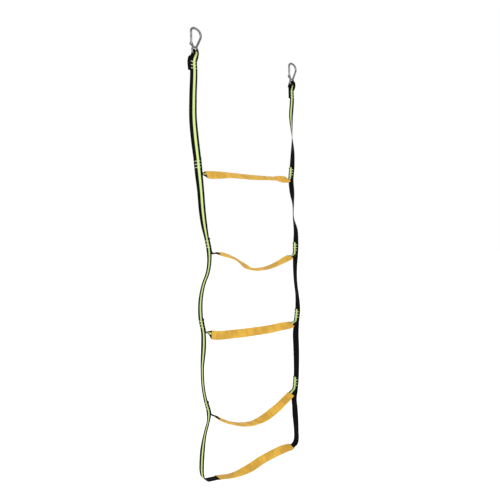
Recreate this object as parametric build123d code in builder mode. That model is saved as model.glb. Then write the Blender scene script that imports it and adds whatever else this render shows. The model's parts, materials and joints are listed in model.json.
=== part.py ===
from build123d import *
from math import cos, radians, sin
import os

# Escape ladder of flat webbing: two spring hooks, two side straps, four rung straps sewn to
# them and a bottom rung that the side strap itself makes, each rung in a soft sleeve.
# The origin is the seat under the left hook's bow, where the beam bears. X runs along the
# rungs towards the right hook, Y from the front to the back, and Z is up. Millimetres.

# ---- driving sizes ---------------------------------------------------------------------
hook_spacing = 428.0          # seat to seat
first_rung_drop = 446.0       # seat to the first rung
rung_pitch = 252.0            # rung to rung
bottom_pitch = 204.0          # fourth rung to the bottom rung

web_width = 25.0
web_thick = 1.8
ply_gap = 0.1                 # between two plies sewn together
tab_length = 48.0             # turned-up end of a rung strap
tab_bend = 9.0                # radius where the tab turns into the rung
corner_radius = {"left": 32.0, "right": 20.0}   # side strap turning into the bottom rung
corner_rise = 30.0            # side strap above the corner that stays with the bottom rung
head_length = 34.0            # doubled, sewn end of a side strap
fold_shift = 6.0              # the folded end lies this far to the left of the strap
loop_drop = 20.0              # eye's wire to the doubled end

sleeve_wall = 1.1
sleeve_side_room = 0.4        # inside the sleeve, beside the web and over it
sleeve_over_room = 1.2
sleeve_edge = 1.6             # cut off each corner of the sleeve's section
sleeve_edge_share = 0.6       # of the wall, by which the inner corners are cut less

wire_d = 7.0                  # hook wire
hook_drop = 78.0              # seat to the underside of the eye
gate_x = -15.0                # gate's line, left of the seat
spine_x = 20.5                # outermost line of the bow, right of the seat
nose_z = -10.0                # end of the bow's wire, above the gate
pivot_z = -47.0               # gate's rivet
shoulder_z = -19.0            # where the spine turns in towards the eye
bow_gate_radius = 12.0
bow_spine_radius = 19.0
shoulder_radius = 10.0
eye_wire_d = 6.4
eye_radius = 10.0             # centre line of the eye
eye_x = -2.0
eye_join_angle = 60.0         # where spine and tongue meet the eye, from level

tongue_thick = 3.0            # flat lug that carries the gate
tongue_radius = 4.2
slot_clearance = 0.2          # each side of the tongue and of the nose blade
rivet_d = 3.0
rivet_clearance = 0.05
rivet_head_d = 5.4
rivet_head_height = 0.9
rivet_end_play = 0.15
gate_d = 7.0
knuckle_radius = 4.6
knuckle_width = 6.6
gate_bore_d = 4.0
gate_gap = 0.4                # nose to gate
blade_length = 7.0            # flat nose blade that the latch pin hooks into
blade_root = 1.0              # of it inside the wire
blade_thick = 2.6
blade_width = 5.0
latch_pin_d = 2.0
latch_inset = 3.4             # latch pin below the top of the gate
latch_clearance = 0.35
latch_flush = 0.2             # pin end below the gate's skin
bore_roof = 3.0               # gate metal between the nose slot and the bore
plunger_length = 5.0
plunger_clearance = 0.15
spring_wire = 0.5
spring_turns = 6

tack_length = 17.0            # bar tacks: across the web, along it, and proud of it
tack_height = 2.2
tack_proud = 0.45
tack_gap = 0.05
tack_pitch = 10.0
tacks_per_seam = 3
bunch_width = 9.0             # webbing gathered where it goes through the eye
bunch_thick = 3.8
bunch_clearance = 1.9         # around the eye's wire

# ---- how the webbing hangs -------------------------------------------------------------
# Side straps, for each bay between rungs: (share of the bay from its top, offset from the
# strap's own line, yaw of the striped face from the front, 90 being straight outwards).
strap_line = {"left": 12.0, "right": hook_spacing - 2.0}
head_offset = {"left": -19.0, "right": 0.0}
head_yaw = 8.0
strap_drape = {
    "left": [
        [(0.26, -23, 10), (0.47, -24, 16), (0.68, -18, 38)],
        [(0.21, 0, 62), (0.46, 5, 65), (0.66, 12, 74)],
        [(0.14, 28, 94), (0.26, 21, 97), (0.38, 7, 98), (0.52, -3, 95)],
        [(0.15, 3, 86), (0.42, -3, 100), (0.66, 0, 98)],
        [(0.1, 16, 108), (0.24, 6, 108), (0.5, -6, 92)],
    ],
    "right": [
        [(0.25, -7, 14), (0.36, -5, 28), (0.5, -2, 48), (0.66, -1, 76)],
        [(0.16, -7, 88), (0.3, -2, 58), (0.5, -1, 50), (0.66, 10, 80)],
        [(0.14, 4, 84), (0.42, 6, 73), (0.6, 13, 76)],
        [(0.14, 3, 104), (0.4, 4, 105), (0.62, 4, 98)],
        [(0.13, -11, 97), (0.3, -8, 100), (0.46, -6, 103)],
    ],
}
# Where a rung strap is sewn on: (offset at the tab's top, offset at the rung, yaw).
seam_drape = {
    "left": [(-11, -6, 50), (20, 29, 88), (-6, 3, 88), (8, 19, 94)],
    "right": [(-5, -11, 92), (10, 7, 94), (15, 8, 92), (2, -5, 94)],
}
corner_drape = {"left": -10.0, "right": -2.0}
rung_lift = {"left": [0, 3, 5, -3, -2], "right": [11, -18, -18, -20, -18]}
# Rungs: (share of the clear span, drop below the chord, roll of the web from flat). The
# first and last are where the sleeve ends.
rung_drape = [
    [(0.06, 1, 51), (0.3, -2, 44), (0.55, 0, 40), (0.8, -1, 32), (0.985, 0, 30)],
    [(0.065, 2, 8), (0.25, 17, 26), (0.36, 40, 46), (0.46, 52, 14), (0.62, 49, 11),
     (0.8, 29, 18), (0.95, 7, 24)],
    [(0.05, 8, 66), (0.3, 15, 70), (0.6, 15, 72), (0.8, 11, 70), (0.955, 6, 36)],
    [(0.06, 17, 2), (0.2, 46, 2), (0.34, 65, 6), (0.5, 71, 10), (0.68, 58, 50),
     (0.84, 33, 34), (0.96, 10, 20)],
    [(0.07, 4, 0), (0.22, 16, 2), (0.33, 19, 13), (0.45, 16, 40), (0.58, 7, 62), (0.78, 0, 62),
     (0.9, 0, 38), (0.98, 1, 18)],
]

# ---- worked out ------------------------------------------------------------------------
eye_z = -hook_drop + eye_wire_d / 2 + eye_radius
eye_low_z = eye_z - eye_radius
sleeve_width = web_width + 2 * (sleeve_side_room + sleeve_wall)
sleeve_height = web_thick + 2 * (sleeve_over_room + sleeve_wall)
head_top_z = eye_low_z - loop_drop
head_end_z = head_top_z - head_length
ply_step = web_thick + ply_gap
gate_top_z = nose_z - gate_gap
latch_z = gate_top_z - latch_inset
nose_slot_z = nose_z - blade_length - slot_clearance * 3
bore_top_z = nose_slot_z - bore_roof
tongue_slot_z = pivot_z + tongue_radius + latch_clearance
sides = ("left", "right")
rung_count = len(rung_drape)
sewn_rungs = range(rung_count - 1)


def rung_z(side, rung):
    steps = min(rung, rung_count - 2)
    last = bottom_pitch if rung == rung_count - 1 else 0.0
    return -first_rung_drop - steps * rung_pitch - last + rung_lift[side][rung]


def across(side, yaw):
    """Level direction along the web's width."""
    out = -1 if side == "left" else 1
    return Vector(out * cos(radians(yaw)), sin(radians(yaw)), 0)


def inward(side, yaw):
    """Level direction from the striped face through to the plain one."""
    out = -1 if side == "left" else 1
    return Vector(-out * sin(radians(yaw)), cos(radians(yaw)), 0)


down = Vector(0, 0, -1)
up = Vector(0, 0, 1)


def hang(side, offset, z, yaw):
    """A level cross-section of a side strap: centre, width direction, run direction."""
    return Vector(strap_line[side] + offset, 0, z), across(side, yaw), down


def band(stations):
    """Flat webbing through its cross-sections, lofted from each to the next."""
    with BuildPart() as web:
        for pair in zip(stations, stations[1:]):
            for centre, wide, along in pair:
                with BuildSketch(Plane(origin=centre, x_dir=wide, z_dir=along)):
                    Rectangle(web_width, web_thick)
            loft(ruled=True)
    return web


os.makedirs("parts", exist_ok=True)


def save(piece, name):
    piece.part.label = name
    export_step(piece.part, f"parts/{name}.step")


# ---- spring hooks ----------------------------------------------------------------------
def hook_body(seat_x):
    """Bent wire bow and spine with a closed eye, a notched nose blade and a drilled tongue."""
    eye_centre = Vector(seat_x + eye_x, 0, eye_z)
    pivot = Vector(seat_x + gate_x, 0, pivot_z)
    join_x = eye_radius * cos(radians(eye_join_angle))
    join_z = eye_radius * sin(radians(eye_join_angle))
    tongue_root = eye_centre + Vector(-join_x, 0, join_z)
    lug = (tongue_root - pivot).normalized()
    with BuildPart() as hook:
        with BuildLine() as bow:
            FilletPolyline(
                (seat_x + gate_x, 0, nose_z),
                (seat_x + gate_x, 0, wire_d / 2),
                (seat_x + spine_x, 0, wire_d / 2),
                (seat_x + spine_x, 0, shoulder_z),
                eye_centre + Vector(join_x, 0, join_z),
                radius=[bow_gate_radius, bow_spine_radius, shoulder_radius],
            )
        with BuildSketch(Plane(origin=(seat_x + gate_x, 0, nose_z), z_dir=up)):
            Circle(wire_d / 2)
        sweep(path=bow.line)
        with BuildSketch(Plane.XY.offset(eye_z)):
            with Locations((eye_centre.X + eye_radius, 0)):
                Circle(eye_wire_d / 2)
        revolve(axis=Axis(eye_centre, (0, 1, 0)))
        # the arm keeps clear of the gate's knuckle, and only the flat tongue reaches the rivet
        arm_end = pivot + lug * (knuckle_radius + latch_clearance)
        with BuildSketch(Plane(origin=tongue_root, z_dir=-lug)):
            Circle(eye_wire_d / 2)
        extrude(amount=(arm_end - tongue_root).length)
        with BuildSketch(Plane.XZ):
            middle = (pivot + arm_end) / 2
            SlotCenterPoint((middle.X, middle.Z), (pivot.X, pivot.Z), 2 * tongue_radius)
        extrude(amount=tongue_thick / 2, both=True)
        with BuildSketch(Plane.XZ):
            with Locations((pivot.X, pivot.Z)):
                Circle(rivet_d / 2)
        extrude(amount=gate_d, both=True, mode=Mode.SUBTRACT)
        with BuildSketch(Plane.XZ):
            with Locations((seat_x + gate_x, nose_z + blade_root)):
                Rectangle(blade_width, blade_root + blade_length, align=(Align.CENTER, Align.MAX))
            with Locations((seat_x + gate_x, latch_z)):
                Circle(latch_pin_d / 2 + latch_clearance, mode=Mode.SUBTRACT)
            with Locations((seat_x + gate_x + blade_width / 2, latch_z)):
                Rectangle(blade_width, latch_pin_d + 2 * latch_clearance, mode=Mode.SUBTRACT)
        extrude(amount=blade_thick / 2, both=True)
    return hook


def hook_gate(seat_x):
    """Bored tube with a rounded knuckle, forked over the tongue and over the nose blade."""
    x = seat_x + gate_x
    with BuildPart() as gate:
        with BuildSketch(Plane.XY.offset(pivot_z)):
            with Locations((x, 0)):
                Circle(gate_d / 2)
        extrude(amount=gate_top_z - pivot_z)
        with BuildSketch(Plane.XZ):
            with Locations((x, pivot_z)):
                Circle(knuckle_radius)
        extrude(amount=knuckle_width / 2, both=True)
        with BuildSketch(Plane.XY.offset(pivot_z)):
            with Locations((x, 0)):
                Circle(gate_bore_d / 2)
        extrude(amount=bore_top_z - pivot_z, mode=Mode.SUBTRACT)
        with BuildSketch(Plane.XZ):
            with Locations((x, tongue_slot_z)):
                Rectangle(4 * knuckle_radius, 4 * knuckle_radius, align=(Align.CENTER, Align.MAX))
        extrude(amount=tongue_thick / 2 + slot_clearance, both=True, mode=Mode.SUBTRACT)
        with BuildSketch(Plane.XZ):
            with Locations((x, nose_slot_z)):
                Rectangle(4 * gate_d, 4 * gate_d, align=(Align.CENTER, Align.MIN))
        extrude(amount=blade_thick / 2 + slot_clearance, both=True, mode=Mode.SUBTRACT)
        with BuildSketch(Plane.XZ):
            with Locations((x, pivot_z)):
                Circle(rivet_d / 2 + rivet_clearance)
            with Locations((x, latch_z)):
                Circle(latch_pin_d / 2)
        extrude(amount=gate_d, both=True, mode=Mode.SUBTRACT)
    return gate


def gate_rivet(seat_x):
    """Pin through the gate's fork and the tongue, with a bevelled head on each side."""
    half = gate_d / 2 + rivet_end_play
    with BuildPart() as rivet:
        with BuildSketch(Plane.XZ):
            with Locations((seat_x + gate_x, pivot_z)):
                Circle(rivet_d / 2)
        extrude(amount=half, both=True)
        for face in (Plane.XZ.offset(half), Plane.XZ.offset(-half - rivet_head_height)):
            with BuildSketch(face):
                with Locations((seat_x + gate_x, pivot_z)):
                    Circle(rivet_head_d / 2)
            extrude(amount=rivet_head_height)
        ends = rivet.faces().sort_by(Axis.Y)
        chamfer([ends[0].edges()[0], ends[-1].edges()[0]], rivet_head_height * 0.7)
    return rivet


def latch_pin(seat_x):
    with BuildPart() as pin:
        with BuildSketch(Plane.XZ):
            with Locations((seat_x + gate_x, latch_z)):
                Circle(latch_pin_d / 2)
        extrude(amount=gate_d / 2 - latch_flush, both=True)
    return pin


def gate_plunger(seat_x):
    """Round-ended plug between the spring and the tongue."""
    with BuildPart() as plunger:
        with BuildSketch(Plane.XY.offset(tongue_slot_z)):
            with Locations((seat_x + gate_x, 0)):
                Circle(gate_bore_d / 2 - plunger_clearance)
        extrude(amount=plunger_length)
        chamfer(plunger.edges().group_by(Axis.Z)[0], gate_bore_d / 10)
    return plunger


def gate_spring(seat_x):
    """Closing spring in the gate's bore, of square wire."""
    foot = tongue_slot_z + plunger_length + spring_wire
    height = bore_top_z - spring_wire - foot
    radius = gate_bore_d / 2 - plunger_clearance - spring_wire / 2
    with BuildPart() as spring:
        with BuildLine() as coil:
            Helix(height / spring_turns, height, radius, center=(seat_x + gate_x, 0, foot))
        with BuildSketch(Plane(coil.line @ 0, z_dir=coil.line % 0)):
            Rectangle(spring_wire, spring_wire)
        sweep(path=coil.line, is_frenet=True)
    return spring


seats = {"left": 0.0, "right": hook_spacing}
for side in sides:
    save(hook_body(seats[side]), f"{side}_hook")
    save(hook_gate(seats[side]), f"{side}_gate")
    save(gate_rivet(seats[side]), f"{side}_gate_rivet")
    save(latch_pin(seats[side]), f"{side}_latch_pin")
    save(gate_plunger(seats[side]), f"{side}_gate_plunger")
    save(gate_spring(seats[side]), f"{side}_gate_spring")


# ---- side straps -----------------------------------------------------------------------
def fold_step(side):
    """From the strap to the folded end sewn behind it."""
    left = across(side, head_yaw) * (1 if side == "left" else -1)
    return inward(side, head_yaw) * ply_step + left * fold_shift


def eye_loop(side):
    """The strap gathered over the eye's wire, opening out to its full width below it."""
    inner = eye_wire_d / 2 + bunch_clearance
    outer = inner + bunch_thick
    x = seats[side] + eye_x
    wide = across(side, head_yaw)
    with BuildPart() as loop:
        with BuildSketch(Plane.YZ.offset(x)):
            with Locations((0, eye_low_z)):
                Circle(outer)
                Circle(inner, mode=Mode.SUBTRACT)
                Rectangle(2 * outer, outer, align=(Align.CENTER, Align.MAX), mode=Mode.SUBTRACT)
        extrude(amount=bunch_width / 2, both=True)
        for y, behind in ((-1, Vector(0, 0, 0)), (1, fold_step(side))):
            gathered = Vector(x, y * (inner + outer) / 2, eye_low_z)
            spread = Vector(strap_line[side] + head_offset[side], 0, head_top_z) + behind
            with BuildSketch(Plane(origin=gathered, x_dir=(wide.X, 0, 0), z_dir=down)):
                Rectangle(bunch_width, bunch_thick)
            with BuildSketch(Plane(origin=spread, x_dir=wide, z_dir=down)):
                Rectangle(web_width, web_thick)
            loft(ruled=True)
    return loop


def seam(side, rung, drop):
    """Strap cross-section at a sewn tab, drop below the tab's top."""
    top_offset, rung_offset, yaw = seam_drape[side][rung]
    offset = top_offset + (rung_offset - top_offset) * drop / tab_length
    return hang(side, offset, rung_z(side, rung) + tab_length - drop, yaw)


def corner_top(side):
    """Strap cross-section where the bottom strap's piece starts, above its corner."""
    radius = corner_radius[side]
    return hang(side, corner_drape[side], rung_z(side, rung_count - 1) + radius + corner_rise, 90)


def strap_bay(side, bay):
    """Free strap from one sewn length to the next."""
    top_z = rung_z(side, bay - 1) if bay else head_end_z
    drop = top_z - rung_z(side, bay)
    first = seam(side, bay - 1, tab_length) if bay else hang(side, head_offset[side], head_end_z, head_yaw)
    last = seam(side, bay, 0) if bay in sewn_rungs else corner_top(side)
    drape = [hang(side, offset, top_z - share * drop, yaw) for share, offset, yaw in strap_drape[side][bay]]
    return band([first, *drape, last])


for side in sides:
    head = [hang(side, head_offset[side], z, head_yaw) for z in (head_top_z, head_end_z)]
    save(eye_loop(side), f"{side}_eye_loop")
    save(band(head), f"{side}_strap_head")
    folded = [(centre + fold_step(side), wide, along) for centre, wide, along in head]
    save(band(folded), f"{side}_folded_end")
    for bay in range(rung_count):
        save(strap_bay(side, bay), f"{side}_strap_bay_{bay + 1}")
    for rung in sewn_rungs:
        save(band([seam(side, rung, drop) for drop in (0, tab_length)]), f"{side}_strap_seam_{rung + 1}")


# ---- rungs -----------------------------------------------------------------------------
def turn(side, start, yaw, radius, angles):
    """Cross-sections where a hanging strap of that yaw bends round to run level inwards."""
    level = inward(side, yaw)
    stations = []
    for angle in angles:
        sine, cosine = sin(radians(angle)), cos(radians(angle))
        centre = start + level * radius * (1 - cosine) + down * radius * sine
        level_share = (angle / 90) ** 2
        wide = across(side, yaw) * (1 - level_share) + Vector(0, level_share, 0)
        along = level * sine + down * cosine
        wide = (wide - along * wide.dot(along)).normalized()
        stations.append((centre, wide, along if side == "left" else -along))
    return stations if side == "left" else stations[::-1]


def rung_end(side, rung):
    """Cross-sections from the top of the tab or corner to the level run, left to right."""
    if rung in sewn_rungs:
        yaw = seam_drape[side][rung][2]
        ply = inward(side, yaw) * ply_step
        top = seam(side, rung, 0)[0] + ply
        bend = turn(side, seam(side, rung, tab_length - tab_bend)[0] + ply, yaw, tab_bend, (0, 45, 90))
    else:
        yaw = 90
        top = corner_top(side)[0]
        bend = turn(side, top + down * corner_rise, yaw, corner_radius[side], (0, 30, 60, 90))
    start = (top, across(side, yaw), down if side == "left" else up)
    return [start, *bend] if side == "left" else [*bend, start]


def rung_span(rung):
    """Cross-sections of the level run, where the first and last are the sleeve's ends."""
    start, end = rung_end("left", rung)[-1][0], rung_end("right", rung)[0][0]
    centres = [start + (end - start) * share + down * drop for share, drop, _ in rung_drape[rung]]
    route = [start, *centres, end]
    span = []
    for place, (_, _, roll) in enumerate(rung_drape[rung], 1):
        along = (route[place + 1] - route[place - 1]).normalized()
        wide = Vector(0, cos(radians(roll)), sin(radians(roll)))
        span.append((route[place], (wide - along * wide.dot(along)).normalized(), along))
    return span


def sleeve(rung):
    """Soft flat tube over the rung, open at both ends, its folded edges cut to flats."""
    with BuildPart() as tube:
        span = rung_span(rung)
        for wall, mode in ((0, Mode.ADD), (sleeve_wall, Mode.SUBTRACT)):
            for pair in zip(span, span[1:]):
                for centre, wide, along in pair:
                    with BuildSketch(Plane(origin=centre, x_dir=wide, z_dir=along)):
                        flat = Rectangle(sleeve_width - 2 * wall, sleeve_height - 2 * wall)
                        chamfer(flat.vertices(), sleeve_edge - wall * sleeve_edge_share)
                loft(ruled=True, mode=mode)
    return tube


for rung in range(rung_count):
    route = [*rung_end("left", rung), *rung_span(rung), *rung_end("right", rung)]
    save(band(route), f"rung_strap_{rung + 1}" if rung in sewn_rungs else "bottom_strap")
    save(sleeve(rung), f"sleeve_{rung + 1}")


# ---- bar tacks -------------------------------------------------------------------------
def tack_rows(side, top, low):
    """Bars of close stitching on the striped face of a seam and on the ply behind it."""
    run = low[0] - top[0]
    along = run.normalized()
    wide = top[1]
    out = wide.cross(along).normalized() * (1 if side == "left" else -1)
    margin = (run.length - (tacks_per_seam - 1) * tack_pitch) / 2
    rows = []
    for tack in range(tacks_per_seam):
        centre = top[0] + along * (margin + tack * tack_pitch)
        face = centre + out * (web_thick / 2 + tack_gap)
        back = centre - out * (web_thick / 2 + ply_step + tack_gap)
        rows.append(Plane(origin=face, x_dir=wide, z_dir=out))
        rows.append(Plane(origin=back, x_dir=wide, z_dir=-out))
    return rows


def tacks(planes):
    with BuildPart() as bars:
        for plane in planes:
            with BuildSketch(plane):
                Rectangle(tack_length, tack_height)
            extrude(amount=tack_proud)
    return bars


head_rows, seam_rows = [], {rung: [] for rung in sewn_rungs}
for side in sides:
    head = [hang(side, head_offset[side], z, head_yaw) for z in (head_top_z, head_end_z)]
    head_rows += tack_rows(side, *head)
    for rung in sewn_rungs:
        ends = seam(side, rung, 0), seam(side, rung, tab_length - tab_bend)
        seam_rows[rung] += tack_rows(side, *ends)
save(tacks(head_rows), "head_tacks")
for rung in sewn_rungs:
    save(tacks(seam_rows[rung]), f"seam_tacks_{rung + 1}")
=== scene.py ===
import json
from math import cos, pi, radians, sin

import bpy
import numpy as np
from mathutils import Matrix, Vector


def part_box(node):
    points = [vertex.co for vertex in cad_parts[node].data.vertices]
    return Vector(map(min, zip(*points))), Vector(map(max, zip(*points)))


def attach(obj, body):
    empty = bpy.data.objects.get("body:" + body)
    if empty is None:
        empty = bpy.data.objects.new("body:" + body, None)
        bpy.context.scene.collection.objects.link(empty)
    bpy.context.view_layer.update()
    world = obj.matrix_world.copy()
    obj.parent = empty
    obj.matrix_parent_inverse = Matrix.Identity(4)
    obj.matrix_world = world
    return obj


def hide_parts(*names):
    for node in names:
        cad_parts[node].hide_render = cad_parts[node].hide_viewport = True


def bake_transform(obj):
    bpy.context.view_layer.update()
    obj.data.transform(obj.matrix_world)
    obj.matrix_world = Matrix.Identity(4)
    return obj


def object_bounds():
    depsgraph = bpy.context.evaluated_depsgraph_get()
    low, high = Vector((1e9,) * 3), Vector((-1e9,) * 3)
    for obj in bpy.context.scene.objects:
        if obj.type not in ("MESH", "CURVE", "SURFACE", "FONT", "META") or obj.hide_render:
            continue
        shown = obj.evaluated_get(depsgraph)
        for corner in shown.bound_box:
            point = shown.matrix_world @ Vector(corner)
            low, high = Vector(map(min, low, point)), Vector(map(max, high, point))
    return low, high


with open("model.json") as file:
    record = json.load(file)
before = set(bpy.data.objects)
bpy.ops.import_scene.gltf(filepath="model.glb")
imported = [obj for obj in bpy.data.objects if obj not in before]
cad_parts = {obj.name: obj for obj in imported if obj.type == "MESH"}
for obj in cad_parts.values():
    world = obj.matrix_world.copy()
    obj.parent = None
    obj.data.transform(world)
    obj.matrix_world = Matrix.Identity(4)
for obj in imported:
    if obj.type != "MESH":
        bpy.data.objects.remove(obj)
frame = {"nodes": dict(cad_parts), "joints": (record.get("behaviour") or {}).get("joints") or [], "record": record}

cad_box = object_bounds()

# ---- Camera ----------------------------------------------------------------------------
# A viewer's eye at the left front corner of the hanging ladder, level with its second rung.
# The camera looks level and leans by less than a degree, so the straps drift to the right.
camera_place = Vector((-0.7074, -1.0939, -0.6469))
camera_bearing = radians(40)
camera_lean = radians(0.8)
aim = Vector((sin(camera_bearing), cos(camera_bearing), 0))
level = Vector((cos(camera_bearing), -sin(camera_bearing), 0))
plumb = Vector((0, 0, 1))
rows = (
    level * cos(camera_lean) - plumb * sin(camera_lean),
    plumb * cos(camera_lean) + level * sin(camera_lean),
    -aim,
)
camera = bpy.data.objects.new("camera", bpy.data.cameras.new("camera"))
camera.matrix_world = Matrix.Translation(camera_place) @ Matrix(rows).transposed().to_4x4()
camera.data.sensor_width = 36
camera.data.lens = 30.0
camera.data.shift_y = -0.0252
camera.data.clip_start = 0.01
bpy.context.scene.collection.objects.link(camera)
bpy.context.scene.camera = camera

# ---- Studio ----------------------------------------------------------------------------
# A plain white room: a pale floor below the ladder, a white surround that lights it evenly,
# and two large soft lamps, the stronger one high on the viewer's left.
scene = bpy.context.scene
scene.view_settings.view_transform = "Standard"
scene.world = bpy.data.worlds.new("studio")
scene.world.use_nodes = True
surround = scene.world.node_tree.nodes["Background"]
surround.inputs["Color"].default_value = (1, 1, 1, 1)
surround.inputs["Strength"].default_value = 1.0

floor_drop = 0.35
floor_reach = 30
floor_z = cad_box[0][2] - floor_drop
floor_mesh = bpy.data.meshes.new("floor")
floor_signs = ((-1, -1), (1, -1), (1, 1), (-1, 1))
floor_corners = [(x * floor_reach, y * floor_reach, floor_z) for x, y in floor_signs]
floor_mesh.from_pydata(floor_corners, [], [(0, 1, 2, 3)])
floor = bpy.data.objects.new("floor", floor_mesh)
floor_paint = bpy.data.materials.new("floor_paint")
floor_paint.use_nodes = True
floor_shader = floor_paint.node_tree.nodes["Principled BSDF"]
floor_shader.inputs["Base Color"].default_value = (0.97, 0.97, 0.97, 1)
floor_shader.inputs["Roughness"].default_value = 0.9
floor_shader.inputs["Specular IOR Level"].default_value = 0.0
floor_shader.inputs["Emission Color"].default_value = (1, 1, 1, 1)
floor_shader.inputs["Emission Strength"].default_value = 0.12
floor_mesh.materials.append(floor_paint)
scene.collection.objects.link(floor)

middle = (Vector(cad_box[0]) + Vector(cad_box[1])) / 2
for lamp_name, offset, size, power in (
    ("key_lamp", Vector((-1.9, -1.5, 1.1)), 1.2, 30),
    ("fill_lamp", Vector((1.5, -1.9, 0.2)), 1.5, 10),
):
    lamp = bpy.data.objects.new(lamp_name, bpy.data.lights.new(lamp_name, "AREA"))
    lamp.data.size = size
    lamp.data.energy = power
    lamp.location = middle + offset
    lamp.rotation_euler = (-offset).to_track_quat("-Z", "Y").to_euler()
    scene.collection.objects.link(lamp)


# ---- Spring hooks ----------------------------------------------------------------------
# Two pear-shaped hooks of bent round steel wire, zinc plated, with a forked tube for a gate.
# The wire is drawn before it is bent, so fine scuffs lie on it and its bends are rubbed.
class Signal:
    """One output of a shader node; arithmetic on it adds Math nodes to its finish."""

    def __init__(self, finish, socket):
        self.finish, self.socket = finish, socket

    def math(self, operation, *values):
        return self.finish.node("Math", {"operation": operation}, dict(enumerate(values)))

    def __add__(self, other):
        return self.math("ADD", self, other)

    def __sub__(self, other):
        return self.math("SUBTRACT", self, other)

    def __rsub__(self, other):
        return self.math("SUBTRACT", other, self)

    def __mul__(self, other):
        return self.math("MULTIPLY", self, other)

    __radd__ = __add__
    __rmul__ = __mul__

    def __abs__(self):
        return self.math("ABSOLUTE", self)

    def sine(self):
        return self.math("SINE", self)

    def ramp(self, low, high):
        """0 below low, 1 above high, and smooth between."""
        inputs = {"Value": self, "From Min": low, "From Max": high}
        return self.finish.node("MapRange", {"interpolation_type": "SMOOTHSTEP"}, inputs)


class Finish:
    """A procedural material, made node by node."""

    def __init__(self, name):
        self.material = bpy.data.materials.new(name)
        self.material.use_nodes = True
        self.tree = self.material.node_tree
        self.shader = self.tree.nodes["Principled BSDF"]

    def node(self, kind, settings, inputs, output=0):
        made = self.tree.nodes.new("ShaderNode" + kind)
        for name, setting in settings.items():
            setattr(made, name, setting)
        for name, value in inputs.items():
            if isinstance(value, Signal):
                self.tree.links.new(value.socket, made.inputs[name])
            else:
                made.inputs[name].default_value = value
        return Signal(self, made.outputs[output])

    def mix(self, share, first, second):
        """Colour that goes from the first to the second as share goes from 0 to 1."""
        inputs = {0: share, 6: first, 7: second}
        return self.node("Mix", {"data_type": "RGBA"}, inputs, output=2)

    def noise(self, place, scale, detail=3.0, roughness=0.55):
        inputs = {"Vector": place, "Scale": scale, "Detail": detail, "Roughness": roughness}
        return self.node("TexNoise", {}, inputs)

    def stretched(self, place, scale):
        return self.node("Mapping", {"vector_type": "POINT"}, {"Vector": place, "Scale": scale})

    def relief(self, height, depth):
        inputs = {"Height": height, "Distance": depth, "Strength": 1.0}
        self.link("Normal", self.node("Bump", {}, inputs))

    def link(self, name, signal):
        self.tree.links.new(signal.socket, self.shader.inputs[name])

    def set(self, **values):
        for name, value in values.items():
            self.shader.inputs[name.replace("_", " ")].default_value = value


bare_steel = (0.40, 0.39, 0.375, 1)
scuff_grain = (1400.0, 1400.0, 160.0)  # across, across and along the drawn wire, per metre
scuff_depth = 0.00004


def steel(name, dark, light, rub, grain):
    """Plated or oiled steel: drawn grain, cloudy plating and rubbed bright patches."""
    finish = Finish(name)
    place = finish.node("TexCoord", {}, {}, output="Object")
    clouds = finish.noise(place, 90.0).ramp(0.3, 0.7)
    scuffs = finish.noise(finish.stretched(place, scuff_grain), 1.0, 2.0)
    worn = finish.noise(place, 170.0, 3.0, 0.6).ramp(0.5, 0.72) * rub
    plated = finish.mix(clouds, (*dark, 1), (*light, 1))
    finish.link("Base Color", finish.mix(worn, plated, bare_steel))
    finish.link("Roughness", 0.2 + clouds * 0.12 + scuffs * grain - worn * 0.1)
    finish.relief(scuffs * 0.5 + finish.noise(place, 600.0) * 0.5, scuff_depth)
    finish.set(Metallic=1.0)
    return finish.material


hook_steel = steel("plated_wire", (0.105, 0.10, 0.10), (0.22, 0.215, 0.21), 0.5, 0.16)
gate_steel = steel("turned_tube", (0.15, 0.145, 0.14), (0.28, 0.275, 0.27), 0.4, 0.22)
rivet_steel = steel("rivet_steel", (0.18, 0.175, 0.17), (0.32, 0.315, 0.31), 0.6, 0.1)
spring_steel = steel("oiled_spring", (0.08, 0.08, 0.082), (0.16, 0.16, 0.165), 0.3, 0.12)
hook_finishes = {
    "hook": hook_steel,
    "gate": gate_steel,
    "gate_rivet": rivet_steel,
    "latch_pin": rivet_steel,
    "gate_plunger": spring_steel,
    "gate_spring": spring_steel,
}
for side in ("left", "right"):
    for part, material in hook_finishes.items():
        node = frame["nodes"][f"{side}_{part}"]
        node.data.materials.clear()
        node.data.materials.append(material)


# ---- Strap webbing ---------------------------------------------------------------------
# One long black polyester webbing with a lime stripe woven into one face runs from hook to
# hook: over each hook's eye, down the side, through the corners and across as the last rung.
web_width = 0.025
web_thick = 0.0018
ply_step = 0.0019              # from one ply to the next where two are sewn together
mounts = {m["name"]: Vector(m["pos_m"]) for m in frame["record"]["mounts"]}
joints = {joint["name"]: joint for joint in frame["joints"]}
seats = {"left": mounts["left_hook"].x, "right": mounts["right_hook"].x}
strap_line = {"left": seats["left"] + 0.012, "right": seats["right"] - 0.002}
head_offset = {"left": -0.019, "right": 0.0}
head_yaw = 8
fold_shift = 0.006             # the folded end lies this far to the left of the strap
eye_x = -0.002
eye_wire = 0.0064
eye_inside = 0.0068            # radius inside the eye, which rolls the web up
leg_curl = 0.55                # how far the web is rolled up on either side of the eye
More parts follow.
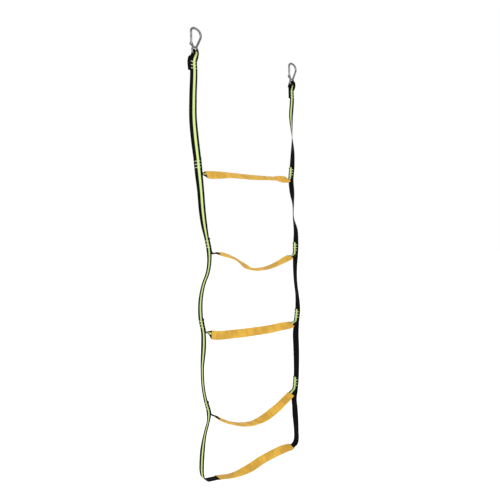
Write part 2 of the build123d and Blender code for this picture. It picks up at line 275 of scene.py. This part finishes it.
# How the sides hang, for each length between rungs: the share of it from its top, the offset
# from the strap's own line, and the yaw of the striped face from the front, 90 being outwards.
strap_drape = {
    "left": [
        [(0.26, -0.023, 10), (0.47, -0.024, 16), (0.68, -0.018, 38)],
        [(0.21, 0.0, 62), (0.46, 0.005, 65), (0.66, 0.012, 74)],
        [(0.14, 0.028, 94), (0.26, 0.021, 97), (0.38, 0.007, 98), (0.52, -0.003, 95)],
        [(0.15, 0.003, 86), (0.42, -0.003, 100), (0.66, 0.0, 98)],
        [(0.1, 0.016, 108), (0.24, 0.006, 108), (0.5, -0.006, 92)],
    ],
    "right": [
        [(0.25, -0.007, 14), (0.36, -0.005, 28), (0.5, -0.002, 48), (0.66, -0.001, 76)],
        [(0.16, -0.007, 88), (0.3, -0.002, 58), (0.5, -0.001, 50), (0.66, 0.010, 80)],
        [(0.14, 0.004, 84), (0.42, 0.006, 73), (0.6, 0.013, 76)],
        [(0.14, 0.003, 104), (0.4, 0.004, 105), (0.62, 0.004, 98)],
        [(0.13, -0.011, 97), (0.3, -0.008, 100), (0.46, -0.006, 103)],
    ],
}
# Where a rung strap is sewn on: the offsets at the tab's top and at the rung, and the yaw.
seam_drape = {
    "left": [(-0.011, -0.006, 50), (0.020, 0.029, 88), (-0.006, 0.003, 88), (0.008, 0.019, 94)],
    "right": [(-0.005, -0.011, 92), (0.010, 0.007, 94), (0.015, 0.008, 92), (0.002, -0.005, 94)],
}
corner_drape = {"left": -0.010, "right": -0.002}
corner_radius = {"left": 0.032, "right": 0.020}
corner_rise = 0.030
# The bottom rung: the share of the clear span, the drop below the chord, and the web's roll.
bottom_drape = [
    (0.07, 0.004, 0), (0.22, 0.016, 2), (0.33, 0.019, 13), (0.45, 0.016, 40), (0.58, 0.007, 62),
    (0.78, 0.0, 62), (0.9, 0.0, 38), (0.98, 0.001, 18),
]
down = Vector((0, 0, -1))


def across(side, yaw):
    """Level direction along the web's width."""
    out = -1 if side == "left" else 1
    return Vector((out * cos(radians(yaw)), sin(radians(yaw)), 0))


def inward(side, yaw):
    """Level direction from the striped face through to the plain one."""
    out = -1 if side == "left" else 1
    return Vector((-out * sin(radians(yaw)), cos(radians(yaw)), 0))


def hang(side, offset, z, yaw):
    """A station of the webbing: its centre, its width direction and how far it is rolled up."""
    return Vector((strap_line[side] + offset, 0, z)), across(side, yaw), 0.0


def half_strap(side):
    """Stations from the cut end behind the eye to the corner, and each piece's first and last."""
    low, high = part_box(f"{side}_strap_head")
    foot = hang(side, head_offset[side], low.z, head_yaw)
    top = hang(side, head_offset[side], high.z, head_yaw)
    left = across(side, head_yaw) * (1 if side == "left" else -1)
    behind = inward(side, head_yaw) * ply_step + left * fold_shift
    stations = [(foot[0] + behind, foot[1], 0.0), (top[0] + behind, top[1], 0.0)]
    cuts = {"folded_end": (0, 1)}
    wire = Vector((seats[side] + eye_x, 0, joints["eye_swing"]["pos_m"][2]))
    lay = eye_wire / 2 + web_thick / 2
    round_wire = [radians(angle) for angle in (90, 45, 0, -45, -90)]
    turns = [wire + Vector((0, sin(angle), cos(angle))) * lay for angle in round_wire]
    legs = (turns[0] * 0.5 + stations[1][0] * 0.5, turns[-1] * 0.5 + top[0] * 0.5)
    stations.append((legs[0], across(side, head_yaw / 2), leg_curl))
    stations += [(place, across(side, 0), 1.0) for place in turns]
    stations.append((legs[1], across(side, head_yaw / 2), leg_curl))
    stations.append(top)
    cuts["eye_loop"] = (1, len(stations) - 1)
    stations.append(foot)
    cuts["strap_head"] = (len(stations) - 2, len(stations) - 1)
    for bay, drape in enumerate(strap_drape[side]):
        first = len(stations) - 1
        top_z = stations[-1][0].z
        sewn = bay < len(seam_drape[side])
        if sewn:
            seam_low, seam_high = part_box(f"{side}_strap_seam_{bay + 1}")
            foot_z = seam_low.z
        else:
            corner_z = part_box(f"{side}_strap_bay_{bay + 1}")[0].z
            foot_z = corner_z - corner_rise - corner_radius[side]
        stations += [hang(side, x, top_z - share * (top_z - foot_z), yaw) for share, x, yaw in drape]
        if sewn:
            top_x, foot_x, yaw = seam_drape[side][bay]
            stations.append(hang(side, top_x, seam_high.z, yaw))
            stations.append(hang(side, foot_x, foot_z, yaw))
            cuts[f"seam_{bay + 1}"] = (len(stations) - 2, len(stations) - 1)
        else:
            stations.append(hang(side, corner_drape[side], corner_z, 90))
        cuts[f"strap_{bay + 1}"] = (first, len(stations) - 1)
    return stations, cuts


def turn(side, start, yaw, radius, angles):
    """Stations where a hanging strap of that yaw bends round to run level inwards."""
    stations = []
    for angle in angles:
        sine, cosine = sin(radians(angle)), cos(radians(angle))
        centre = start + inward(side, yaw) * radius * (1 - cosine) + down * radius * sine
        level_share = (angle / 90) ** 2
        wide = across(side, yaw) * (1 - level_share) + Vector((0, level_share, 0))
        stations.append((centre, wide, 0.0))
    return stations if side == "left" else stations[::-1]


def span(start, end, drape):
    """Stations of a level run that hangs below its chord and rolls."""
    places = [start + (end - start) * share + down * drop for share, drop, roll in drape]
    return [
        (place, Vector((0, cos(radians(roll)), sin(radians(roll)))), 0.0)
        for place, (share, drop, roll) in zip(places, drape)
    ]


def flow(stations, first, last, step=0.0015):
    """Smooth run from one station to another: centres, widths, directions, reach, roll-up."""
    centres, widths, curls = (np.array(column) for column in zip(*stations))
    reach = np.r_[0, np.cumsum(np.linalg.norm(np.diff(centres, axis=0), axis=1))]

    def smooth(values, at):
        slopes = np.gradient(values, reach, axis=0)
        i = np.clip(np.searchsorted(reach, at, side="right") - 1, 0, len(reach) - 2)
        gap = (reach[i + 1] - reach[i])[:, None]
        t = (at[:, None] - reach[i][:, None]) / gap
        return (
            (2 * t**3 - 3 * t**2 + 1) * values[i] + (t**3 - 2 * t**2 + t) * gap * slopes[i]
            + (3 * t**2 - 2 * t**3) * values[i + 1] + (t**3 - t**2) * gap * slopes[i + 1]
        )

    count = max(2, int(round((reach[last] - reach[first]) / step)) + 1)
    at = np.linspace(reach[first], reach[last], count)
    nudge = 2e-5
    line, wide = smooth(centres, at), smooth(widths, at)
    ahead, behind = (np.clip(at + step_on, 0, reach[-1]) for step_on in (nudge, -nudge))
    along = smooth(centres, ahead) - smooth(centres, behind)
    along /= np.linalg.norm(along, axis=1)[:, None]
    wide -= along * (wide * along).sum(1)[:, None]
    wide /= np.linalg.norm(wide, axis=1)[:, None]
    return line, wide, along, at, np.interp(at, reach, curls)


def skin(name, rings, uvs, material, tube=False):
    """Mesh over a row of rings: capped at both ends, or for a tube joined last to first."""
    count, around = rings.shape[:2]
    faces, corners = [], []
    for row in range(count if tube else count - 1):
        after = (row + 1) % count
        for a in range(around):
            b = (a + 1) % around
            here, there = row * around, after * around
            faces.append((here + a, here + b, there + b, there + a))
            corners += [uvs[row][a], uvs[row][a + 1], uvs[after][a + 1], uvs[after][a]]
    if not tube:
        for row, order in ((0, -1), (count - 1, 1)):
            faces.append(tuple(row * around + a for a in range(around))[::order])
            corners += uvs[row][:around][::order]
    mesh = bpy.data.meshes.new(name)
    mesh.from_pydata(rings.reshape(-1, 3).tolist(), [], faces)
    mesh.uv_layers.new(name="weave").data.foreach_set("uv", np.array(corners, np.float32).ravel())
    mesh.polygons.foreach_set("use_smooth", [True] * len(mesh.polygons))
    if not tube:
        ends = np.r_[:around, (count - 1) * around:count * around]
        pairs = np.zeros(len(mesh.edges) * 2, np.int32)
        mesh.edges.foreach_get("vertices", pairs)
        cut = np.isin(pairs.reshape(-1, 2), ends).all(axis=1)
        mesh.attributes.new("sharp_edge", "BOOLEAN", "EDGE").data.foreach_set("value", cut)
    mesh.materials.append(material)
    made = bpy.data.objects.new(name, mesh)
    scene.collection.objects.link(made)
    return made


face_points = 11
edge_angles = (pi / 6, pi / 3, pi / 2)
flat_half = web_width / 2 - web_thick / 2
face_outline = [(x, web_thick / 2) for x in np.linspace(-flat_half, flat_half, face_points)]
face_outline += [(flat_half + web_thick / 2 * sin(a), web_thick / 2 * cos(a)) for a in edge_angles]
face_outline = np.array(face_outline)
plain_face_u = 0.1             # the plain face's place in the weave's pattern, off the stripe
crown = 0.0002                 # the web is thicker along its middle
flat_curl = 1e-4               # the roll-up of a flat web, which is divided by


def ribbon(name, run, striped=1):
    """Webbing along a run; striped is -1 where the stripe is on the other face."""
    line, wide, along, at, curl = run
    out = np.cross(wide, along)
    x = np.r_[face_outline[:, 0], -face_outline[:, 0]]
    y = np.r_[face_outline[:, 1], -face_outline[:, 1]] + crown * (1 - (x / (web_width / 2)) ** 2)
    bend = np.maximum(curl, flat_curl)[:, None] / (eye_inside - web_thick / 2)
    aside = (np.sin(bend * x) / bend - np.sin(bend * x) * y)[..., None]
    proud = ((1 - np.cos(bend * x)) / bend + np.cos(bend * x) * y)[..., None]
    rings = line[:, None] + wide[:, None] * aside + out[:, None] * proud
    near, far = (0.0, plain_face_u) if striped > 0 else (plain_face_u, 0.0)
    u = list(face_outline[:, 0] + near) + list(far - face_outline[:, 0])
    uvs = [[(across_web, v) for across_web in u + u[:1]] for v in at]
    return skin(name, rings[:, ::-1], [row[::-1] for row in uvs], webbing)


rib_pitch = 0.0015
pick_pitch = 0.0012
stripe_edge = (0.0036, 0.0045)  # from the middle: lime up to the first, none beyond the second
mixed_edge = (0.0046, 0.0062)   # the same for the ribs where lime and black threads mix
stripe_ragged = 0.0007
mixed_ragged = 0.0012
weave_depth = 0.00022


def webbing_finish():
    """Woven polyester: ribs along it, picks across, a lime stripe on one face, rubbed edges."""
    finish = Finish("webbing")
    place = finish.node("UVMap", {"uv_map": "weave"}, {})
    u = finish.node("SeparateXYZ", {}, {"Vector": place})
    v = Signal(finish, u.socket.node.outputs["Y"])
    rib = (u * (2 * pi / rib_pitch)).sine()
    row = (u * (1 / rib_pitch)).math("ROUND", u * (1 / rib_pitch)) * pi
    pick = (v * (2 * pi / pick_pitch) + row).sine()
    weave = 0.5 + rib * 0.26 + pick * 0.24
    stripe = 1 - (abs(u) + weave * stripe_ragged).ramp(*stripe_edge)
    mixed = (1 - (abs(u) + weave * mixed_ragged).ramp(*mixed_edge)) * (0.25 + weave * 0.5)
    soil = finish.noise(place, 38.0, 4.0, 0.6).ramp(0.35, 0.8)
    black = finish.mix(weave, (0.0008, 0.0008, 0.0009, 1), (0.0046, 0.0046, 0.0050, 1))
    dim = finish.mix(weave, (0.010, 0.014, 0.005, 1), (0.050, 0.070, 0.022, 1))
    lime = finish.mix(weave, (0.34, 0.47, 0.13, 1), (0.61, 0.73, 0.30, 1))
    lime = finish.mix(soil * 0.4, lime, (0.44, 0.53, 0.23, 1))
    finish.link("Base Color", finish.mix(stripe, finish.mix(mixed, black, dim), lime))
    finish.link("Roughness", 0.74 - weave * 0.14 + soil * 0.1)
    fibre = finish.noise(place, 2600.0, 3.0, 0.6)
    finish.relief(weave * 0.8 + fibre * 0.2, weave_depth)
    finish.set(Specular_IOR_Level=0.04)
    return finish.material


webbing = webbing_finish()
left_half, left_cuts = half_strap("left")
right_half, right_cuts = half_strap("right")
corners = {}
for side, half in (("left", left_half), ("right", right_half)):
    bend_top = half[-1][0] + down * corner_rise
    corners[side] = turn(side, bend_top, 90, corner_radius[side], (0, 30, 60, 90))
bottom = span(corners["left"][-1][0], corners["right"][0][0], bottom_drape)
strap = left_half + corners["left"] + bottom + corners["right"] + right_half[::-1]
cuts = {f"left_{name}": ends for name, ends in left_cuts.items()}
for name, (first, last) in right_cuts.items():
    cuts[f"right_{name}"] = (len(strap) - 1 - last, len(strap) - 1 - first)
cuts["bottom_strap"] = (len(left_half) - 1, len(strap) - len(right_half))
bottom_first = len(left_half) + len(corners["left"])
cuts["bottom_sleeve"] = (bottom_first, bottom_first + len(bottom) - 1)

carriers = ["strap_heads", "rung_1", "rung_2", "rung_3", "rung_4", "bottom_rung"]
folds = ["fold_top", "fold_1", "fold_2", "fold_3", "fold_4"]
fold_reach = 0.06              # a reach above and below a fold's line
loop_reach = (0.005, -0.011)  # reaches above and below the eye's wire
for side in ("left", "right"):
    for bay, fold in enumerate(folds, 1):
        run = flow(strap, *cuts[f"{side}_strap_{bay}"])
        piece = ribbon(f"{side}_strap_{bay}", run)
        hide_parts(f"{side}_strap_bay_{bay}")
        if f"{side}_seam_{bay}" in cuts:
            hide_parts(f"{side}_strap_seam_{bay}")
        x, hinge = run[0][:, 0].mean(), joints[fold]["pos_m"][2]
        start, end = (x, 0, hinge + fold_reach), (x, 0, hinge - fold_reach)
        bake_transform(piece)
    for part in ("strap_head", "folded_end"):
        piece = ribbon(f"{side}_{part}_web", flow(strap, *cuts[f"{side}_{part}"]))
        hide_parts(f"{side}_{part}")
        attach(piece, "strap_heads")
    loop = ribbon(f"{side}_eye_loop_web", flow(strap, *cuts[f"{side}_eye_loop"], step=0.0008))
    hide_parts(f"{side}_eye_loop")
    x, wire_z = seats[side] + eye_x, joints["eye_swing"]["pos_m"][2]
    start, end = ((x, 0, wire_z + reach) for reach in loop_reach)
    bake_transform(loop)
bottom_web = ribbon("bottom_strap_web", flow(strap, *cuts["bottom_strap"]))
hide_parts("bottom_strap")
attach(bottom_web, "bottom_rung")

# ---- Rung straps -----------------------------------------------------------------------
# Four more lengths of the same webbing, one for each rung. Both ends are turned up against
# the inner face of the side straps, with the stripe inwards, and sewn there.
tab_bend = 0.009
tab_stations = 7
tab_end = 0.009                # the tab's cut end, beyond its stitches, stands off the strap
tab_lift = 0.0024
neck_roll = {2: -16, 4: -18}   # degrees of twist between the left tab and the sleeve
# The rungs: the share of the clear span, the drop below the chord, and the web's roll.
rung_drape = [
    [(0.06, 0.001, 51), (0.3, -0.002, 44), (0.55, 0.0, 40), (0.8, -0.001, 32), (0.985, 0.0, 30)],
    [(0.065, 0.002, 8), (0.25, 0.017, 26), (0.36, 0.040, 46), (0.46, 0.052, 14), (0.62, 0.049, 11),
     (0.8, 0.029, 18), (0.95, 0.007, 24)],
    [(0.05, 0.008, 66), (0.3, 0.015, 70), (0.6, 0.015, 72), (0.8, 0.011, 70), (0.955, 0.006, 36)],
    [(0.06, 0.017, 2), (0.2, 0.046, 2), (0.34, 0.065, 6), (0.5, 0.071, 10), (0.68, 0.058, 50),
     (0.84, 0.033, 34), (0.96, 0.010, 20)],
]
sewn_rungs = range(1, len(rung_drape) + 1)
sleeve_runs = {}
for rung, drape in zip(sewn_rungs, rung_drape):
    tabs, bends = {}, {}
    for side in ("left", "right"):
        line, wide, along, at, curl = flow(strap, *cuts[f"{side}_seam_{rung}"], step=0.0005)
        inner = line - np.cross(wide, along) * ply_step
        above_bend = np.flatnonzero(line[:, 2] >= line[:, 2].min() + tab_bend)
        kept = above_bend[np.linspace(0, len(above_bend) - 1, tab_stations).astype(int)]
        off = np.clip((line[kept, 2] - line[:, 2].max() + tab_end) / tab_end, 0, 1)[:, None] ** 2
        stood = inner[kept] - np.cross(wide[kept], along[kept]) * off * tab_lift
        tabs[side] = [(Vector(c), Vector(w), 0.0) for c, w in zip(stood, wide[kept])]
        last = tabs[side][-1 if side == "left" else 0]
        bends[side] = turn(side, last[0], seam_drape[side][rung - 1][2], tab_bend, (45, 90))
    level_run = span(bends["left"][-1][0], bends["right"][0][0], drape)
    lead = tabs["left"] + bends["left"]
    if rung in neck_roll:
        roll = radians(neck_roll[rung])
        neck = (lead[-1][0] + level_run[0][0]) / 2
        lead.append((neck, Vector((0, cos(roll), sin(roll))), 0.0))
    stations = lead + level_run + bends["right"] + tabs["right"]
    first = len(lead)
    sleeve_runs[rung] = flow(stations, first, first + len(level_run) - 1)
    piece = ribbon(f"rung_strap_{rung}_web", flow(stations, 0, len(stations) - 1), striped=-1)
    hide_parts(f"rung_strap_{rung}")
    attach(piece, f"rung_{rung}")
sleeve_runs[len(rung_drape) + 1] = flow(strap, *cuts["bottom_sleeve"])

# ---- Sleeves ---------------------------------------------------------------------------
# Soft golden sleeves of folded nylon cloth, one over each rung as a grip for the hands and
# feet. The cloth is creased by the folding and hemmed at both ends.
sleeve_half = 0.0140
sleeve_rise = 0.0030
sleeve_wall = 0.0009
hem_length = 0.009
hem_proud = 0.0003
sleeve_points = 44
side_roundness = 0.55          # 1 is an ellipse, and less is squarer
face_roundness = 0.62
end_pinch = 0.06               # how much thinner the sleeve is at its ends
pinch_reach = 0.012
hem_step = 0.001               # length over which the hem's edge rises from the cloth
side_crease = 0.8              # creases at the sleeve's edges, as a share of those on its faces
end_crease = 0.25              # creases at its ends, as a share of those farther in
end_crease_reach = 0.015
crease_shade_range = 0.0009          # heights over which the painted crease shade goes from none to darkest
lining_v = 0.5                 # the inner wall's place in the cloth's pattern
cloth_pitch = 0.0007
cloth_depth = 0.00016


def sleeve_finish():
    """Plain-woven nylon with a soft sheen, painted shade darkening its creases, and soiled by hands."""
    finish = Finish("sleeve_cloth")
    place = finish.node("UVMap", {"uv_map": "weave"}, {})
    u = finish.node("SeparateXYZ", {}, {"Vector": place})
    v = Signal(finish, u.socket.node.outputs["Y"])
    warp = (u * (2 * pi / cloth_pitch)).sine()
    weft = (v * (2 * pi / cloth_pitch)).sine()
    weave = 0.5 + warp * weft * 0.5
    slub = finish.noise(finish.stretched(place, (1.0, 14.0, 1.0)), 90.0, 3.0, 0.6)
    soil = finish.noise(place, 46.0, 4.0, 0.62).ramp(0.42, 0.78)
    cloth = finish.mix(weave, (0.45, 0.245, 0.022, 1), (0.73, 0.435, 0.052, 1))
    cloth = finish.mix(slub.ramp(0.35, 0.7) * 0.5, cloth, (0.63, 0.36, 0.036, 1))
    # Painted shade: the cloth's colour darkens where its creases sink, standing in for the shadow in its folds.
    painted_crease_shade = finish.node("Attribute", {"attribute_name": "painted_crease_shade"}, {}, output="Fac")
    cloth = finish.mix(painted_crease_shade.ramp(0.1, 0.9) * 0.42, cloth, (0.33, 0.165, 0.012, 1))
    finish.link("Base Color", finish.mix(soil * 0.4, cloth, (0.40, 0.24, 0.035, 1)))
    finish.link("Roughness", 0.62 + soil * 0.18 - weave * 0.1)
    finish.relief(weave * 0.7 + slub * 0.3, cloth_depth)
    finish.set(Specular_IOR_Level=0.25, Sheen_Weight=0.06, Sheen_Roughness=0.45)
    return finish.material


# Creases along and round a sleeve: (height, waves per metre along it, most waves round it).
crease_waves = ((0.00034, 9, 1), (0.00022, 20, 2), (0.00013, 44, 3), (0.00007, 90, 5))
crease_floor = -0.0004         # no crease is deeper, so that the cloth clears the webbing


def creases(rung, at, angle):
    """Height of the cloth's creases: a few long waves and many short ones, fixed for a rung."""
    draw = np.random.default_rng(rung)
    height = np.zeros((len(at), len(angle)))
    for size, per_metre, around in crease_waves:
        for repeat in range(3):
            wave = draw.uniform(0.7, 1.4) * per_metre * 2 * pi * at[:, None]
            turns = draw.integers(-around, around + 1) * angle[None, :]
            height += size * draw.uniform(0.4, 1.0) * np.sin(wave + turns + draw.uniform(0, 2 * pi))
    return np.maximum(height, crease_floor)


cloth = sleeve_finish()
sleeves = {}
angle = np.linspace(0, 2 * pi, sleeve_points, endpoint=False)
for rung, (line, wide, along, at, curl) in sleeve_runs.items():
    out = np.cross(wide, along)
    aside = np.sign(np.cos(angle)) * np.abs(np.cos(angle)) ** side_roundness
    proud = np.sign(np.sin(angle)) * np.abs(np.sin(angle)) ** face_roundness
    to_end = np.minimum(at - at[0], at[-1] - at)
    hem = hem_proud * np.clip((hem_length - to_end) / hem_step, 0, 1)[:, None]
    pinch = 1 - end_pinch * np.exp(-((to_end / pinch_reach) ** 2))[:, None]
    calmed = np.clip(to_end / end_crease_reach, end_crease, 1)[:, None]
    swell = creases(rung, at, angle) * calmed
    surfaces = []
    for wall in (0.0, sleeve_wall):
        reach_wide = sleeve_half + hem + swell * side_crease - wall
        reach_high = sleeve_rise * pinch + hem + swell - wall
        surfaces.append(
            line[:, None] + wide[:, None] * (aside * reach_wide)[..., None]
            + out[:, None] * (proud * reach_high)[..., None]
        )
    rings = np.concatenate([surfaces[0], surfaces[1][::-1]])
    steps_round = np.diff([aside * sleeve_half, proud * sleeve_rise], axis=1)
    girth = np.r_[0, np.cumsum(np.hypot(*steps_round))]
    girth = list(girth) + [girth[-1] + girth[1]]
    uvs = [[(g, v) for g in girth] for v in (*at, *(at[::-1] + lining_v))]
    uvs = [row[::-1] for row in uvs]
    piece = skin(f"sleeve_{rung}_cloth", rings[:, ::-1], uvs, cloth, tube=True)
    # How deep each point lies in a crease, stored for the painted crease shade in the cloth's colour.
    depth = np.clip(0.5 - swell / crease_shade_range, 0, 1)
    depth = np.concatenate([depth, depth[::-1]])[:, ::-1]
    piece.data.attributes.new("painted_crease_shade", "FLOAT", "POINT").data.foreach_set("value", depth.ravel())
    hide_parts(f"sleeve_{rung}")
    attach(piece, carriers[rung])
    sleeves[rung] = piece, surfaces[0], (float(girth[-1]), float(at[-1] - at[0]))

# ---- Bar tacks and hem stitches --------------------------------------------------------
# Every sewn length is held by three bar tacks of lime thread, a close zigzag through both
# plies, and each sleeve's hems and side seam are run with a golden thread.
def stitch_tree():
    """Stitches along every edge of a mesh, each an arc of thread that stands on the cloth."""
    tree = bpy.data.node_groups.new("stitches", "GeometryNodeTree")
    sockets = {}
    for name, kind in (
        ("Lines", "Geometry"), ("Spacing", "Float"), ("Stitch", "Float"), ("Thread", "Float"),
        ("Slant", "Float"), ("Unevenness", "Float"), ("Seed", "Int"), ("Finish", "Material"),
    ):
        kind = "NodeSocket" + kind
        sockets[name] = tree.interface.new_socket(name, in_out="INPUT", socket_type=kind)
    tree.interface.new_socket("Sewn", in_out="OUTPUT", socket_type="NodeSocketGeometry")
    given = tree.nodes.new("NodeGroupInput").outputs

    def node(kind, settings, inputs, output=0):
        made = tree.nodes.new(kind)
        for name, setting in settings.items():
            setattr(made, name, setting)
        for name, value in inputs.items():
            if isinstance(value, bpy.types.NodeSocket):
                tree.links.new(value, made.inputs[name])
            else:
                made.inputs[name].default_value = value
        return made.outputs[output]

    def maths(operation, first, second):
        return node("ShaderNodeMath", {"operation": operation}, {0: first, 1: second})

    def vector(axis, value):
        return node("ShaderNodeCombineXYZ", {}, {axis: value})

    # One stitch: a round thread along an arc, whose feet are on the cloth.
    half = maths("MULTIPLY", given["Stitch"], 0.5)
    feet = [vector("Y", maths("MULTIPLY", half, sign)) for sign in (-1.0, 1.0)]
    peak = vector("Z", maths("MULTIPLY", given["Thread"], 1.5))
    arc_inputs = {"Resolution": 4, "Start": feet[0], "Middle": peak, "End": feet[1]}
    arc = node("GeometryNodeCurveQuadraticBezier", {}, arc_inputs)
    ply_inputs = {"Resolution": 6, "Radius": maths("MULTIPLY", given["Thread"], 0.5)}
    ply = node("GeometryNodeCurvePrimitiveCircle", {}, ply_inputs)
    stitch_parts = {"Curve": arc, "Profile Curve": ply, "Fill Caps": True}
    stitch = node("GeometryNodeCurveToMesh", {}, stitch_parts)

    # Points along the lines, each turned to its line and to the cloth's outward direction.
    lines = node("GeometryNodeMeshToCurve", {}, {"Mesh": given["Lines"]})
    spacing = {"Curve": lines, "Length": given["Spacing"]}
    lines = node("GeometryNodeResampleCurve", {"mode": "LENGTH"}, spacing)
    run = node("GeometryNodeInputTangent", {}, {})
    named = {"data_type": "FLOAT_VECTOR"}
    outward = node("GeometryNodeInputNamedAttribute", named, {"Name": "outward"})
    align = "FunctionNodeAlignRotationToVector"
    facing = node(align, {"axis": "X"}, {"Vector": run})
    about_run = {"axis": "Z", "pivot_axis": "X"}
    facing = node(align, about_run, {"Rotation": facing, "Vector": outward})

    # Each stitch slants the other way from the one before it, and none quite alike.
    index = node("GeometryNodeInputIndex", {}, {})
    sign = maths("SUBTRACT", maths("MULTIPLY", maths("FLOORED_MODULO", index, 2.0), 2.0), 1.0)
    least = maths("MULTIPLY", given["Unevenness"], -1.0)
    drift_inputs = {2: least, 3: given["Unevenness"], "Seed": given["Seed"]}
    drift = node("FunctionNodeRandomValue", {"data_type": "FLOAT"}, drift_inputs, output=1)
    swing = maths("ADD", maths("MULTIPLY", sign, given["Slant"]), drift)
    swing = node("FunctionNodeEulerToRotation", {}, {0: vector("Z", swing)})
    turned = {"Rotation": facing, "Rotate By": swing}
    facing = node("FunctionNodeRotateRotation", {"rotation_space": "LOCAL"}, turned)
    placed = {"Points": lines, "Instance": stitch, "Rotation": facing}
    sewn = node("GeometryNodeInstanceOnPoints", {}, placed)
    sewn = node("GeometryNodeRealizeInstances", {}, {"Geometry": sewn})
    sewn = node("GeometryNodeSetMaterial", {}, {"Geometry": sewn, "Material": given["Finish"]})
    tree.links.new(sewn, tree.nodes.new("NodeGroupOutput").inputs[0])
    return tree, {name: socket.identifier for name, socket in sockets.items()}


stitches, stitch_inputs = stitch_tree()


def sew(name, lines, body, **sizes):
    """Mesh of the stitches along lines, each a list of (place, outward)."""
    places, outs, edges = [], [], []
    for line in lines:
        edges += [(len(places) + i, len(places) + i + 1) for i in range(len(line) - 1)]
        places += [tuple(place) for place, out in line]
        outs += [tuple(out) for place, out in line]
    guide = bpy.data.meshes.new(name)
    guide.from_pydata(places, edges, [])
    outward = guide.attributes.new("outward", "FLOAT_VECTOR", "POINT")
    outward.data.foreach_set("vector", np.ravel(outs))
    sewing = bpy.data.objects.new(name + "_guide", guide)
    scene.collection.objects.link(sewing)
    modifier = sewing.modifiers.new("stitches", "NODES")
    modifier.node_group = stitches
    for size, value in sizes.items():
        modifier[stitch_inputs[size]] = value
    graph = bpy.context.evaluated_depsgraph_get()
    mesh = bpy.data.meshes.new_from_object(sewing.evaluated_get(graph), depsgraph=graph)
    bpy.data.objects.remove(sewing)
    mesh.polygons.foreach_set("use_smooth", [True] * len(mesh.polygons))
    made = bpy.data.objects.new(name, mesh)
    scene.collection.objects.link(made)
    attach(made, body)
    return made


twist_depth = 0.00008


def thread_finish(name, deep, bright):
    """Filament thread: bright where it turns over the cloth, with a faint twist."""
    finish = Finish(name)
    place = finish.node("TexCoord", {}, {}, output="Object")
    twist = finish.noise(place, 2400.0, 2.0, 0.5)
    patches = finish.noise(place, 160.0, 2.0, 0.5).ramp(0.35, 0.7)
    colour = finish.mix(twist.ramp(0.35, 0.65), (*deep, 1), (*bright, 1))
    finish.link("Base Color", finish.mix(patches * 0.3, colour, (*deep, 1)))
    finish.link("Roughness", 0.42 + twist * 0.2)
    finish.relief(twist, twist_depth)
    finish.set(Specular_IOR_Level=0.4)
    return finish.material


lime_thread = thread_finish("lime_thread", (0.36, 0.48, 0.15), (0.66, 0.78, 0.38))
gold_thread = thread_finish("gold_thread", (0.34, 0.18, 0.016), (0.62, 0.37, 0.05))
tack_length = 0.017
tack_pitch = 0.010
tacks_per_seam = 3
seam_run = 0.039               # sewn length of a tab, above its bend
head_run = 0.034


def tack_lines(side, part, sewn_length):
    """The bars across one sewn length, on the strap's face and on the ply behind it."""
    line, wide, along, at, curl = flow(strap, *cuts[f"{side}_{part}"], step=0.0005)
    from_top = at - at[0] if side == "left" else at[-1] - at
    out = np.cross(wide, along)
    margin = (sewn_length - (tacks_per_seam - 1) * tack_pitch) / 2
    bars = []
    for tack in range(tacks_per_seam):
        i = int(np.argmin(np.abs(from_top - margin - tack * tack_pitch)))
        half_bar = wide[i] * tack_length / 2
        for face, lift in ((1, web_thick / 2), (-1, web_thick / 2 + ply_step)):
            centre = line[i] + out[i] * face * lift
            bars.append([(centre + half_bar * end, out[i] * face) for end in (-1, 1)])
    return bars


tack_sizes = {
    "Spacing": 0.00046, "Stitch": 0.0024, "Thread": 0.00050, "Slant": 0.14, "Unevenness": 0.10,
}
sewn_lengths = [("strap_head", head_run, "strap_heads", "head_tacks")]
sewn_lengths += [(f"seam_{n}", seam_run, f"rung_{n}", f"seam_tacks_{n}") for n in sewn_rungs]
for part, sewn_length, body, plain_tacks in sewn_lengths:
    bars = tack_lines("left", part, sewn_length) + tack_lines("right", part, sewn_length)
    tacks = sew(f"{part}_bar_tacks", bars, body, Seed=3, Finish=lime_thread, **tack_sizes)
    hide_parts(plain_tacks)

hem_sizes = {
    "Spacing": 0.0032, "Stitch": 0.0025, "Thread": 0.00042, "Slant": pi / 2, "Unevenness": 0.05,
}
hem_inset = 4                  # rows of the cloth's mesh from its end to the hem's stitches
seam_point = 4                 # the side seam's place round the sleeve
seam_step = 3                  # rows of the cloth's mesh between two points of the side seam
hem_flatness = 0.62            # the hem is stitched where the cloth lies flat, not at its edges
for rung, (sleeve, surface, flat) in sleeves.items():
    lines = []
    out = np.cross(sleeve_runs[rung][1], sleeve_runs[rung][2])
    for row in (hem_inset, len(surface) - 1 - hem_inset):
        for face in (1, -1):
            over = np.flatnonzero(np.sin(angle) * face > hem_flatness)
            lines.append([(place, out[row] * face) for place in surface[row, over]])
    lines.append(list(zip(surface[::seam_step, seam_point], out[::seam_step])))
    thread = {"Seed": rung, "Finish": gold_thread, **hem_sizes}
    seams = sew(f"sleeve_{rung}_stitching", lines, carriers[rung], **thread)
    inside = f"rung_strap_{rung}_web" if rung in sewn_rungs else "bottom_strap_web"
